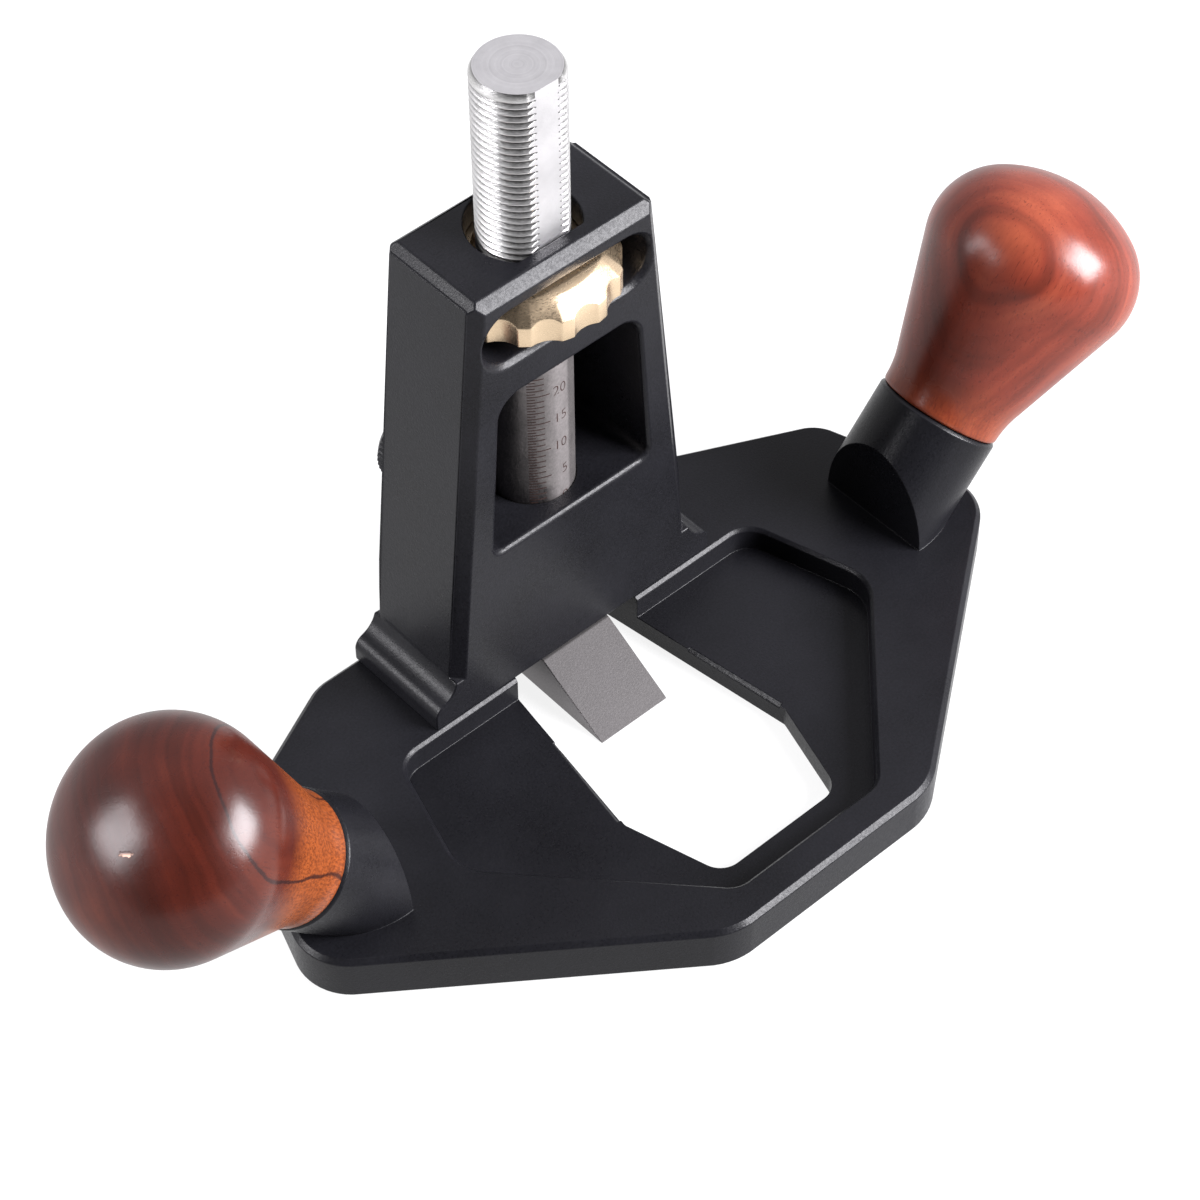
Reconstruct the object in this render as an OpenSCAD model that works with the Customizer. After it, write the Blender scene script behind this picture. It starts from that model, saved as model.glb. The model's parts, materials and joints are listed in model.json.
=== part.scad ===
// Hand router plane: a sole plate with two tilted wooden knobs, a tower that guides a
// graduated post, a captive thumb nut that sets the depth and a rear clamping screw.
// X runs to the right knob, Y to the back, Z up from the sole. Sizes are in millimetres.

/* [Sole plate] */
// Thickness of the sole plate
base_t = 7.3; // [6.8:0.1:9]
// Half length of the straight front edge
front_half = 17.8; // [15:0.1:20]
// Distance from the post axis to the front edge
front_reach = 59.2; // [56:0.1:65]
// Distance from the post axis to the back edge
back_reach = 8.8; // [8.8:0.1:10]
// Half length of the straight back edge
back_half = 31.65; // [28:0.1:34]
// Half width at the outer front corners
wide_half = 61.5; // [60:0.1:66]
// Setback of the outer front corners from the post axis
wide_y = 26.8; // [24:0.1:30]
// Half width at the outer back corners
rear_half = 53; // [50:0.1:56]
// Setback of the outer back corners from the post axis
rear_y = 1.4; // [0:0.1:4]
// Chamfer round the top edge of the plate
edge_chamfer = 0.7; // [0.3:0.1:1]
// Chamfer round the sole
sole_chamfer = 0.4; // [0.2:0.1:0.6]

/* [Recess and mouth] */
// Thickness left under the recess
floor_t = 3.3; // [2.5:0.1:4]
// Distance from the post axis to the back wall of the recess
recess_back = 9; // [9:0.1:10]
// Chamfer round the recess
recess_chamfer = 0.5; // [0.2:0.1:0.8]
// Half width of the mouth at its widest
mouth_half = 14.65; // [13:0.05:15]
// Half width of the mouth at its front edge
mouth_front_half = 10.4; // [9:0.1:12]
// Distance from the post axis to the front edge of the mouth
mouth_front = 49.1; // [46:0.1:50]
// Distance from the post axis to the back edge of the mouth
mouth_back = 6.05; // [6.05:0.05:6.2]

/* [Tower] */
// Height of the tower top above the sole
tower_top = 78.3; // [77:0.1:84]
// Half width of the tower at its top
tower_half = 14.9; // [14.6:0.1:16]
// Half width that the tower's sides would reach at the plate
tower_root_half = 21.65; // [21:0.05:23]
// Half width of the tower's foot
foot_half = 24.7; // [24:0.1:26]
// Distance from the post axis to the tower's front face
tower_front = 8.5; // [8.3:0.1:9]
// Distance from the post axis to the tower's back face
tower_back = 8.8; // [8.6:0.1:8.8]
// Chamfer down the tower's front corners
corner_chamfer = 1.6; // [1:0.1:1.8]
// Chamfer along the tower's top front edge
brow_chamfer = 1.5; // [1:0.1:1.8]
// Chamfer along the tower's other top edges
top_chamfer = 1.2; // [0.5:0.1:1.5]

/* [Nut slot and window] */
// Height of the slot's floor above the sole
slot_floor = 66.5; // [66:0.1:67]
// Height of the nut slot
slot_h = 8; // [7.8:0.1:8.2]
// Half length of the nut slot
slot_half = 13.5; // [13.1:0.1:13.8]
// Height of the window's floor above the sole
window_floor = 33.8; // [33:0.1:36]
// Height of the window's top above the sole
window_top = 60.5; // [58:0.1:61]
// Half width of the window at its floor
window_half = 13.4; // [12:0.1:14]
// Half width of the window at its top
window_top_half = 11.5; // [10:0.1:12]
// Distance from the post axis to the window's back wall
window_back = 6.6; // [6.3:0.1:6.8]

/* [Post and nut] */
// Radius of the post
post_r = 5.95; // [5.8:0.05:6]
// Distance from the post axis to the flat in front
flat_y = 5.15; // [5:0.05:5.3]
// Height of the flat's lower end above the sole
flat_low = 62; // [60:0.5:74]
// Height of the post's top above the sole
post_top = 103; // [100:0.5:110]
// Radial clearance of a sliding or turning fit
fit = 0.05; // [0.03:0.01:0.1]
// Outer radius of the thumb nut
nut_r = 12.4; // [11.5:0.1:12.8]
// Number of finger scallops round the thumb nut
nut_grooves = 14; // [10:1:15]
// Radius of one finger scallop
groove_r = 3.7; // [3.6:0.1:4]

/* [Blade] */
// Width of the blade
blade_w = 12; // [10:0.5:12.7]
// Distance from the post axis to the cutting edge
edge_reach = 20.5; // [18:0.1:24]
// Slope of the blade's top face in degrees
bevel_angle = 30.6; // [29:0.1:35]
// Clearance between the blade and the tower above it
blade_gap = 0.2; // [0.1:0.05:0.4]
// Height of the cutting edge above the sole
edge_lift = 0.05; // [0:0.01:0.2]

/* [Knobs] */
// Tilt of each knob from upright in degrees
knob_tilt = 42; // [38:0.5:45]
// Distance from the middle to the top centre of each boss
boss_x = 58; // [57:0.05:60]
// Setback of the knobs from the post axis
boss_y = 19.8; // [18:0.1:21]
// Height of the top centre of each boss
boss_z = 20.2; // [19:0.1:22]
// Radius of each boss
boss_r = 9.1; // [8.5:0.1:9.5]
// Distance from the middle to the flat inner wall of each boss
boss_wall = 45.9; // [44:0.1:48]
// Length of each wooden knob
knob_len = 36.4; // [35:0.1:38]
// Largest radius of each wooden knob
knob_r = 15.5; // [15:0.1:16.5]
// Radius of each knob's neck
neck_r = 8.95; // [8.5:0.05:9.1]

/* [Post lock] */
// Height of the lock screw above the sole
lock_z = 20.9; // [18:0.1:24]
// Radius of the lock knob
lock_r = 6.6; // [6:0.1:7.5]
// Distance from the post axis to the outer end of the lock knob
lock_end = 26; // [25:0.1:30]

/* [Part] */
// Which sub-part to show

/* [Hidden] */
$fn = 96;
black = [0.07, 0.07, 0.08];
steel = [0.62, 0.62, 0.64];
bright = [0.78, 0.78, 0.8];
brass = [0.83, 0.68, 0.4];
wood = [0.36, 0.14, 0.07];
far = 200;
over = 0.3;
hair = 0.01;
nudge = 0.02;
mid_y = (lock_end - front_reach) / 2;

// ---- Outlines with rounded corners, listed anticlockwise ----
function unit(v) = v / norm(v);
function left_of(v) = [-v[1], v[0]];
function before(pts, i) = pts[(i + len(pts) - 1) % len(pts)];
function after(pts, i) = pts[(i + 1) % len(pts)];
function way_in(pts, i) = unit(pts[i] - before(pts, i));
function way_out(pts, i) = unit(after(pts, i) - pts[i]);
function turn(pts, i) = acos(way_in(pts, i) * way_out(pts, i));
function run(pts, rs, i) = rs[i] * tan(turn(pts, i) / 2);
function start_of(pts, rs, i) = pts[i] - way_in(pts, i) * run(pts, rs, i);
function end_of(pts, rs, i) = pts[i] + way_out(pts, i) * run(pts, rs, i);
function centre_of(pts, rs, i) = start_of(pts, rs, i) + left_of(way_in(pts, i)) * rs[i];

module rounded(pts, rs) {
    polygon([for (i = [0 : len(pts) - 1], k = [0, 1])
        k == 0 ? start_of(pts, rs, i) : end_of(pts, rs, i)]);
    for (i = [0 : len(pts) - 1])
        translate(centre_of(pts, rs, i))
            circle(r = rs[i]);
}

// A prism of the given section laid from p to q, section X pointing to the right of the way
module along(p, q, section, extra = 0) {
    way = q - p;
    translate([p[0], p[1], 0])
        rotate([0, 0, atan2(way[1], way[0])])
            rotate([90, 0, 90])
                translate([0, 0, -extra])
                    linear_extrude(norm(way) + 2 * extra)
                        mirror([1, 0])
                            polygon(section);
}

// Cuts a chamfer round the mouth of a pocket whose rim lies at z = 0
module rim_cut(pts, rs, c) {
    section = [[-over, -c - over], [c + over, over], [-over, over]];
    for (i = [0 : len(pts) - 1]) {
        along(end_of(pts, rs, i), start_of(pts, rs, (i + 1) % len(pts)), section);
        translate(concat(centre_of(pts, rs, i), [-c - over]))
            cylinder(h = c + 2 * over, r1 = rs[i] - over + nudge, r2 = rs[i] + c + over + nudge);
    }
}

// Cuts a chamfer round the outside of a plate whose face lies at z = 0
module edge_cut(pts, rs, c) {
    section = [[over, -c - over], [over, over], [-c - over, over]];
    for (i = [0 : len(pts) - 1]) {
        along(end_of(pts, rs, i), start_of(pts, rs, (i + 1) % len(pts)), section, 1);
        a = left_of(way_in(pts, i)) * -(rs[i] + 2);
        b = left_of(way_out(pts, i)) * -(rs[i] + 2);
        translate(concat(centre_of(pts, rs, i), [0]))
            intersection() {
                rotate_extrude()
                    translate([rs[i] + nudge, 0])
                        polygon(section);
                translate([0, 0, -c - 1])
                    linear_extrude(c + 2)
                        polygon([[0, 0], a, a + b, b]);
            }
    }
}

// A bar along Z that takes a chamfer of leg c off an edge running through its middle
module chamfer_bar(c, length) {
    rotate([0, 0, 45])
        translate([-c / sqrt(2), -c / sqrt(2), 0])
            cube([c * sqrt(2), c * sqrt(2), length]);
}

module both_sides() {
    children();
    mirror([1, 0, 0])
        children();
}

module place() {
    translate([0, -mid_y, 0])
        children();
}

// ---- Sole plate ----
plate_pts = [[-front_half, -front_reach], [front_half, -front_reach], [wide_half, -wide_y],
             [rear_half, -rear_y], [back_half, back_reach], [-back_half, back_reach],
             [-rear_half, -rear_y], [-wide_half, -wide_y]];
plate_rs = [10, 10, 8, 6, 8, 8, 6, 8];
recess_pts = [[-12.5, -54.1], [12.5, -54.1], [37.2, -27.8], [31.6, -recess_back],
              [-31.6, -recess_back], [-37.2, -27.8]];
recess_rs = [4, 4, 6, 4, 4, 6];
mouth_side_y = -34.7;
mouth_back_half = 8.7;
mouth_pts = [[-mouth_front_half, -mouth_front], [mouth_front_half, -mouth_front],
             [mouth_half, mouth_side_y], [mouth_back_half, mouth_back],
             [-mouth_back_half, mouth_back], [-mouth_half, mouth_side_y]];
mouth_rs = [3.3, 3.3, 1, 1.5, 1.5, 1];
mouth_chamfer = 0.5;
mouth_chamfer_end = [12.2, -18];
screw_x = 17.3;
screw_y = 4.4;
screw_r = 2;
head_r = 3.5;
head_h = 4;
head_sunk = 0.25;
head_room = 0.3;
screw_up = 11.2;
screw_room = 0.8;
hex_r = 1.7;
hex_depth = 2.4;
dowel_x = 12.6;
dowel_r = 1.5;
dowel_up = 6.3;
dowel_sunk = 0.8;
end_room = 0.2;

module at_screws() {
    for (x = [-screw_x, screw_x], y = [-screw_y, screw_y])
        translate([x, y, 0])
            children();
}

module at_dowels() {
    for (x = [-dowel_x, dowel_x])
        translate([x, 0, 0])
            children();
}

boss_long = 60;
boss_chamfer = 0.5;

module boss() {
    intersection() {
        translate([boss_x, -boss_y, boss_z])
            rotate([0, knob_tilt, 0]) {
                translate([0, 0, -boss_long])
                    cylinder(h = boss_long - boss_chamfer, r = boss_r);
                translate([0, 0, -boss_chamfer])
                    cylinder(h = boss_chamfer, r1 = boss_r, r2 = boss_r - boss_chamfer);
            }
        translate([boss_wall, -far / 2, base_t - 1])
            cube([far, far, far]);
    }
}

module stud_hole(r, depth) {
    translate([boss_x, -boss_y, boss_z])
        rotate([0, knob_tilt, 0])
            translate([0, 0, -depth])
                cylinder(h = depth + 1, r = r);
}

stud_r = 4;
stud_sunk = 13;
stud_up = 16;
stud_room = 0.3;

module base_plate() {
    color(black)
        place()
            difference() {
                union() {
                    difference() {
                        linear_extrude(base_t)
                            rounded(plate_pts, plate_rs);
                        translate([0, 0, base_t])
                            edge_cut(plate_pts, plate_rs, edge_chamfer);
                        mirror([0, 0, 1])
                            edge_cut(plate_pts, plate_rs, sole_chamfer);
                    }
                    both_sides()
                        boss();
                }
                translate([0, 0, floor_t])
                    linear_extrude(base_t)
                        rounded(recess_pts, recess_rs);
                translate([0, 0, base_t])
                    rim_cut(recess_pts, recess_rs, recess_chamfer);
                translate([0, 0, -1])
                    linear_extrude(base_t + 2)
                        rounded(mouth_pts, mouth_rs);
                both_sides()
                    translate([0, 0, floor_t])
                        along([mouth_half, mouth_side_y + 1], mouth_chamfer_end,
                            [[-over, -mouth_chamfer], [0, -mouth_chamfer],
                             [mouth_chamfer + over, over], [-over, over]]);
                at_screws() {
                    translate([0, 0, -1])
                        cylinder(h = base_t + 2, r = screw_r + fit);
                    translate([0, 0, -1])
                        cylinder(h = head_h + 1 + head_room, r = head_r + 0.2);
                }
                at_dowels()
                    translate([0, 0, -1])
                        cylinder(h = base_t + 2, r = dowel_r + fit / 2);
                both_sides()
                    stud_hole(stud_r + fit, stud_sunk);
            }
}

// ---- Tower ----
side_slope = (tower_root_half - tower_half) / (tower_top - base_t);
foot_round = 2;
foot_sweep = 3.5;
foot_step = 0.1;
foot_c1 = [foot_half - foot_round, base_t + foot_step + foot_round];
side_lean = atan(side_slope);
// Centre of the sweep: it touches the leaning side and the rounded foot
sweep_gap = tower_half + side_slope * tower_top + foot_sweep / cos(side_lean) - foot_c1[0];
sweep_b = side_slope * sweep_gap + foot_c1[1];
sweep_a = 1 + side_slope * side_slope;
sweep_c = pow(sweep_gap, 2) + pow(foot_c1[1], 2) - pow(foot_round + foot_sweep, 2);
sweep_z = (sweep_b + sqrt(sweep_b * sweep_b - sweep_a * sweep_c)) / sweep_a;
foot_c2 = [foot_c1[0] + sweep_gap - side_slope * sweep_z, sweep_z];
foot_meet = foot_c1 + (foot_c2 - foot_c1) * foot_round / (foot_round + foot_sweep);
sweep_end = foot_c2 + foot_sweep * [-cos(side_lean), sin(side_lean)];
lock_boss_r = 8;
lock_boss_end = 14.5;
lock_hole_r = 3 + fit;

module tower_side_half() {
    difference() {
        union() {
            polygon([[0, base_t], [foot_half, base_t], [foot_half, foot_c1[1]], foot_meet,
                     sweep_end, [tower_half, tower_top], [0, tower_top]]);
            translate(foot_c1)
                circle(r = foot_round);
        }
        translate(foot_c2)
            circle(r = foot_sweep);
    }
}

window_pts = [[-window_half, window_floor], [window_half, window_floor],
              [window_top_half, window_top], [-window_top_half, window_top]];
window_rs = [1.5, 1.5, 3.5, 3.5];
window_chamfer = 0.5;
slot_z = slot_floor + slot_h / 2;
slot_chamfer = 0.8;
top_hole_r = 7.4;
shelf_hole_r = 6.6;
corner_foot = 14;

// Lays a flat outline in X and Z against the tower's front face, its +Z pointing forward
module on_front() {
    translate([0, -tower_front, 0])
        rotate([90, 0, 0])
            children();
}

module d_bore(r, z1, z2) {
    intersection() {
        translate([0, 0, z1])
            cylinder(h = z2 - z1, r = r);
        translate([-far / 2, -flat_y - fit, -far])
            cube([far, far, 2 * far]);
    }
}

module tower() {
    slot_end = slot_half - slot_h / 2;
    color(black)
        place()
            difference() {
                union() {
                    translate([0, tower_back, 0])
                        rotate([90, 0, 0])
                            linear_extrude(tower_back + tower_front) {
                                tower_side_half();
                                mirror([1, 0])
                                    tower_side_half();
                            }
                    translate([0, 0, lock_z])
                        rotate([-90, 0, 0])
                            cylinder(h = lock_boss_end, r = lock_boss_r);
                }
                // chamfers on the corners and the top
                both_sides()
                    translate([tower_half, -tower_front, tower_top])
                        rotate([0, 180 - side_lean, 0])
                            translate([0, 0, -5])
                                chamfer_bar(corner_chamfer, 5 + (tower_top - corner_foot) / cos(side_lean));
                both_sides()
                    translate([tower_half, tower_back, tower_top])
                        rotate([0, 180 - side_lean, 0])
                            translate([0, 0, -5])
                                chamfer_bar(top_chamfer, 5 + (tower_top - corner_foot) / cos(side_lean));
                translate([-far / 2, -tower_front, tower_top])
                    rotate([0, 90, 0])
                        chamfer_bar(brow_chamfer, far);
                translate([-far / 2, tower_back, tower_top])
                    rotate([0, 90, 0])
                        chamfer_bar(top_chamfer, far);
                both_sides()
                    translate([tower_half, far / 2, tower_top])
                        rotate([90, 0, 0])
                            chamfer_bar(top_chamfer, far);
                // window pocket
                on_front()
                    translate([0, 0, -tower_front - window_back])
                        linear_extrude(far)
                            rounded(window_pts, window_rs);
                on_front()
                    rim_cut(window_pts, window_rs, window_chamfer);
                // nut slot, open at the front and the back
                on_front()
                    translate([0, slot_z, -far / 2])
                        linear_extrude(far) {
                            square([2 * slot_end, slot_h], center = true);
                            for (x = [-slot_end, slot_end])
                                translate([x, 0])
                                    circle(d = slot_h);
                        }
                on_front()
                    for (x = [-slot_end, slot_end])
                        translate([x, slot_z, -slot_chamfer])
                            cylinder(h = slot_chamfer + over, r1 = slot_h / 2,
                                r2 = slot_h / 2 + slot_chamfer + over);
                translate([-slot_end, -tower_front, slot_z])
                    rotate([90, 0, 90])
                        linear_extrude(2 * slot_end)
                            polygon([[slot_chamfer, slot_h / 2], [slot_chamfer, -slot_h / 2],
                                     [-over, -slot_h / 2 - slot_chamfer - over],
                                     [-over, slot_h / 2 + slot_chamfer + over]]);
                // bores for the post
                cylinder(h = window_floor + 1, r = post_r + fit);
                translate([0, 0, window_top - 1])
                    cylinder(h = slot_floor - window_top + 2, r = shelf_hole_r);
                d_bore(top_hole_r, slot_floor + slot_h - 1, tower_top + 1);
                // lock screw hole
                translate([0, 0, lock_z])
                    rotate([-90, 0, 0])
                        cylinder(h = far, r = lock_hole_r);
                at_screws()
                    cylinder(h = base_t + screw_up + screw_room, r = screw_r + fit);
                at_dowels()
                    cylinder(h = base_t + dowel_up + end_room, r = dowel_r + fit / 2);
            }
}

// ---- Post, nut and blade ----
blade_top = base_t - blade_gap;
pin_y = -4.2;
pin_r = 0.9;
pin_low = 3;
pin_up = 4;
pin_gap = 0.2;
cap_r = 2.5;
cap_depth = 12;
end_chamfer = 0.5;
end_rise = 0.9;

module depth_post() {
    color(bright)
        place()
            difference() {
                union() {
                    translate([0, 0, blade_top + hair])
                        cylinder(h = post_top - end_rise - blade_top - hair, r = post_r);
                    translate([0, 0, post_top - end_rise])
                        cylinder(h = end_rise, r1 = post_r, r2 = post_r - end_chamfer);
                }
                translate([-far / 2, -flat_y - far, flat_low])
                    cube([far, far, far]);
                cylinder(h = blade_top + cap_depth, r = cap_r + fit / 2);
                translate([0, pin_y, 0])
                    cylinder(h = blade_top + pin_up, r = pin_r + fit / 2);
            }
}

nut_hub_r = 8.5;
nut_play = 0.1;
nut_rim_h = 6;
nut_bevel = 2.6;
nut_break = 0.4;
groove_out = 3;
groove_start = 10.6;

module depth_nut() {
    nut_bottom = slot_floor + nut_play;
    nut_top = slot_floor + slot_h - nut_play;
    rim_bottom = nut_top - nut_rim_h;
    color(brass)
        place()
            difference() {
                union() {
                    translate([0, 0, nut_bottom])
                        cylinder(h = nut_top - nut_bottom, r = nut_hub_r);
                    translate([0, 0, rim_bottom])
                        cylinder(h = nut_break, r1 = nut_r - nut_break, r2 = nut_r);
                    translate([0, 0, rim_bottom + nut_break])
                        cylinder(h = nut_rim_h - nut_break - nut_bevel, r = nut_r);
                    translate([0, 0, nut_top - nut_bevel])
                        cylinder(h = nut_bevel, r1 = nut_r, r2 = nut_r - nut_bevel);
                }
                translate([0, 0, nut_bottom - 1])
                    cylinder(h = slot_h + 2, r = post_r + fit);
                for (i = [0 : nut_grooves - 1])
                    rotate([0, 0, groove_start + i * 360 / nut_grooves])
                        translate([nut_r + groove_out, 0, rim_bottom - 1])
                            cylinder(h = nut_rim_h + 2, r = groove_r);
            }
}

blade_back = 5;
sink_h = 2.8;
sink_r = 5;
blade_rise = blade_top - edge_lift;
relief = 0.35;

module blade() {
    color(steel)
        place()
            difference() {
                translate([-blade_w / 2, 0, 0])
                    rotate([90, 0, 90])
                        linear_extrude(blade_w)
                            polygon([[-edge_reach, edge_lift], [blade_back, edge_lift + relief],
                                     [blade_back, blade_top],
                                     [-edge_reach + blade_rise / tan(bevel_angle), blade_top]]);
                cylinder(h = base_t, r = cap_r + fit);
                translate([0, 0, edge_lift])
                    cylinder(h = sink_h, r1 = sink_r, r2 = cap_r + fit);
                translate([0, pin_y, pin_low])
                    cylinder(h = base_t, r = pin_r + fit / 2);
            }
}

cap_head_low = 0.5;
cap_head_h = 2.2;
cap_head_r = 4.5;
cap_gap = 0.05;
cap_end = 16.6;
cap_hex_depth = 1.8;

module blade_screw() {
    color(steel)
        place()
            difference() {
                union() {
                    translate([0, 0, cap_head_low])
                        cylinder(h = cap_head_h, r1 = cap_head_r, r2 = cap_r - cap_gap);
                    translate([0, 0, cap_head_low + cap_head_h - 0.1])
                        cylinder(h = cap_end - cap_head_low - cap_head_h + 0.1, r = cap_r - cap_gap);
                }
                translate([0, 0, cap_head_low - 1])
                    cylinder(h = 1 + cap_hex_depth, r = hex_r, $fn = 6);
            }
}

module blade_pin() {
    color(steel)
        place()
            translate([0, pin_y, pin_low + pin_gap])
                cylinder(h = blade_top + pin_up - pin_low - 2 * pin_gap, r = pin_r);
}

// ---- Post lock ----
pad_r = 2.4;
pad_h = 1.8;
pad_gap = 0.04;
pad_start = post_r + pad_gap;
lock_screw_r = 3;
lock_screw_end = 23.43;
lock_head_start = 17;
lock_neck = 1.4;
lock_bore = 6.95;
lock_fit = 0.02;
lock_knurls = 24;
knurl_r = 0.5;
knurl_out = 0.25;

module along_y(y, z) {
    translate([0, y, z])
        rotate([-90, 0, 0])
            children();
}

module lock_pad() {
    color(brass)
        place()
            along_y(pad_start, lock_z)
                cylinder(h = pad_h, r = pad_r);
}

module lock_screw() {
    color(steel)
        place()
            along_y(pad_start + pad_h + pad_gap, lock_z)
                cylinder(h = lock_screw_end - pad_start - pad_h - pad_gap, r = lock_screw_r);
}

module lock_knob() {
    collar_h = 2;
    rim_in = 0.7;
    rim_out = 1;
    grip_h = lock_end - lock_head_start - collar_h;
    color(black)
        place()
            difference() {
                union() {
                    along_y(lock_head_start, lock_z)
                        cylinder(h = collar_h, r = lock_r - lock_neck);
                    along_y(lock_head_start + collar_h, lock_z)
                        cylinder(h = rim_in, r1 = lock_r - rim_in, r2 = lock_r);
                    along_y(lock_head_start + collar_h + rim_in, lock_z)
                        cylinder(h = grip_h - rim_in - rim_out, r = lock_r);
                    along_y(lock_end - rim_out, lock_z)
                        cylinder(h = rim_out, r1 = lock_r, r2 = lock_r - rim_out);
                }
                along_y(lock_head_start - 1, lock_z)
                    cylinder(h = lock_bore + 1, r = lock_screw_r + lock_fit);
                for (i = [0 : lock_knurls - 1])
                    translate([0, 0, lock_z])
                        rotate([0, i * 360 / lock_knurls, 0])
                            translate([lock_r + knurl_out, lock_head_start + collar_h - 1, 0])
                                rotate([-90, 0, 0])
                                    cylinder(h = grip_h + 2, r = knurl_r);
            }
}

// ---- Wooden knobs ----
shoulder_r = 10.5;
flank_angle = 18.5;
neck_sweep = 14;
shoulder_z = 24.5;
// Height of the crown's centre, so that the crown runs smoothly into the shoulder
crown_gap = knob_len - shoulder_r - shoulder_z;
shoulder_in = knob_r - shoulder_r;
crown_z = shoulder_z - (pow(shoulder_in, 2) - pow(crown_gap, 2)) / (2 * crown_gap);
crown_r = knob_len - crown_z;
neck_end = [neck_r + neck_sweep * (1 - cos(flank_angle)), neck_sweep * sin(flank_angle)];
flank_end = [shoulder_in + shoulder_r * cos(flank_angle), shoulder_z - shoulder_r * sin(flank_angle)];
crown_way = unit([shoulder_in, shoulder_z - crown_z]);
crown_meet = [0, crown_z] + crown_r * crown_way;

module knob_profile() {
    intersection() {
        difference() {
            union() {
                polygon([[0, 0], [neck_r, 0], neck_end, flank_end, [shoulder_in, shoulder_z],
                         crown_meet, [0, crown_z + crown_r * crown_way[1]]]);
                intersection() {
                    translate([shoulder_in, shoulder_z])
                        circle(r = shoulder_r);
                    polygon([[shoulder_in, shoulder_z], flank_end,
                             flank_end + [far, 0], [far, far], crown_meet + [0, far], crown_meet]);
                }
                intersection() {
                    translate([0, crown_z])
                        circle(r = crown_r);
                    polygon([[0, crown_z], [0, crown_z] + 3 * crown_r * crown_way,
                             [0, crown_z + 3 * crown_r]]);
                }
            }
            translate([neck_r + neck_sweep, 0])
                circle(r = neck_sweep);
        }
        square([far, far]);
    }
}

insert_r = 5.5;
insert_h = 15;
insert_gap = 0.3;
knob_gap = 0.05;
stud_gap = 0.2;

module on_boss(side) {
    place()
        translate([side * boss_x, -boss_y, boss_z])
            rotate([0, side * knob_tilt, 0])
                children();
}

module knob(side) {
    color(wood)
        on_boss(side)
            translate([0, 0, knob_gap])
                difference() {
                    rotate_extrude()
                        knob_profile();
                    translate([0, 0, -1])
                        cylinder(h = insert_h + 1 + insert_gap, r = insert_r + fit);
                    translate([0, 0, -1])
                        cylinder(h = stud_up + 3, r = stud_r + stud_room);
                }
}

module knob_insert(side) {
    color(brass)
        on_boss(side)
            translate([0, 0, insert_gap])
                difference() {
                    cylinder(h = insert_h, r = insert_r);
                    translate([0, 0, -1])
                        cylinder(h = insert_h + 2, r = stud_r + fit);
                }
}

module knob_stud(side) {
    color(steel)
        on_boss(side)
            translate([0, 0, stud_gap - stud_sunk])
                cylinder(h = stud_sunk + stud_up - stud_gap, r = stud_r);
}

module knob_left() { knob(-1); }
module knob_right() { knob(1); }
module knob_insert_left() { knob_insert(-1); }
module knob_insert_right() { knob_insert(1); }
module knob_stud_left() { knob_stud(-1); }
module knob_stud_right() { knob_stud(1); }

// ---- Fasteners between the plate and the tower ----
module tower_screws() {
    color(steel)
        place()
            at_screws()
                difference() {
                    union() {
                        translate([0, 0, head_sunk])
                            cylinder(h = head_h, r = head_r);
                        translate([0, 0, head_h])
                            cylinder(h = base_t + screw_up - head_h, r = screw_r);
                    }
                    translate([0, 0, -1])
                        cylinder(h = 1 + hex_depth, r = hex_r, $fn = 6);
                }
}

module tower_dowels() {
    color(steel)
        place()
            at_dowels()
                translate([0, 0, dowel_sunk])
                    cylinder(h = base_t + dowel_up - dowel_sunk, r = dowel_r);
}

base_plate();
tower();
depth_post();
depth_nut();
blade();
blade_screw();
blade_pin();
lock_knob();
lock_screw();
lock_pad();
knob_left();
knob_right();
knob_insert_left();
knob_insert_right();
knob_stud_left();
knob_stud_right();
tower_screws();
tower_dowels();
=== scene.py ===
"""Looks of the hand router plane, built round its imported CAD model.

Everything is in metres, in the CAD model's own frame: +X to the right knob, +Y to the lock
knob at the back, +Z up from the sole. Shapes are worked out in millimetres and scaled by MM.
"""
import json
import math

import bmesh
import bpy
from mathutils import Matrix, Vector

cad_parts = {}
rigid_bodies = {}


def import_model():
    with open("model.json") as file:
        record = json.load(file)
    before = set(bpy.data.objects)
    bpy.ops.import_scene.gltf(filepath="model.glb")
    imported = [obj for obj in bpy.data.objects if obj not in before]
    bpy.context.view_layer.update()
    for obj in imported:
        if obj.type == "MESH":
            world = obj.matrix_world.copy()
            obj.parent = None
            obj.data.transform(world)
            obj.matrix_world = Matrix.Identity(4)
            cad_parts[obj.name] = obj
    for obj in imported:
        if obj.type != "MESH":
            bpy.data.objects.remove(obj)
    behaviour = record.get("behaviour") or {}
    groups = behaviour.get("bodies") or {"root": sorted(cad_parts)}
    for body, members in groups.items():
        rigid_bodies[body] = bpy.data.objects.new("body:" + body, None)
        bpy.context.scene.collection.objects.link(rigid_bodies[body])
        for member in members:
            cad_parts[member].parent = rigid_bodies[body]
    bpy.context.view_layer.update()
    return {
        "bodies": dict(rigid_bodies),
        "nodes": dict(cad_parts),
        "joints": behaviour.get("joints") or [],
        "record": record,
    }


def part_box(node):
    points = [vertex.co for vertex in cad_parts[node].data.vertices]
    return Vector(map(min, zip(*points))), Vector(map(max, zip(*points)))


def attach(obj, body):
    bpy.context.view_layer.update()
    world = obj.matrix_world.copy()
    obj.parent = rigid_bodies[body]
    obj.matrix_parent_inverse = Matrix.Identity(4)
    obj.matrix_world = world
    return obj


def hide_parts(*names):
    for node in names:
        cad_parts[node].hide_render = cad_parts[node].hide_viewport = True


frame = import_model()

MM = 0.001
TAU = 2 * math.pi
# the gap between parts that fit, the middle of a stud above its boss, the depth of the thread
FIT = 0.05
STUD_MIDDLE = 1.6
THREAD_DEPTH = 0.56

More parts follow.
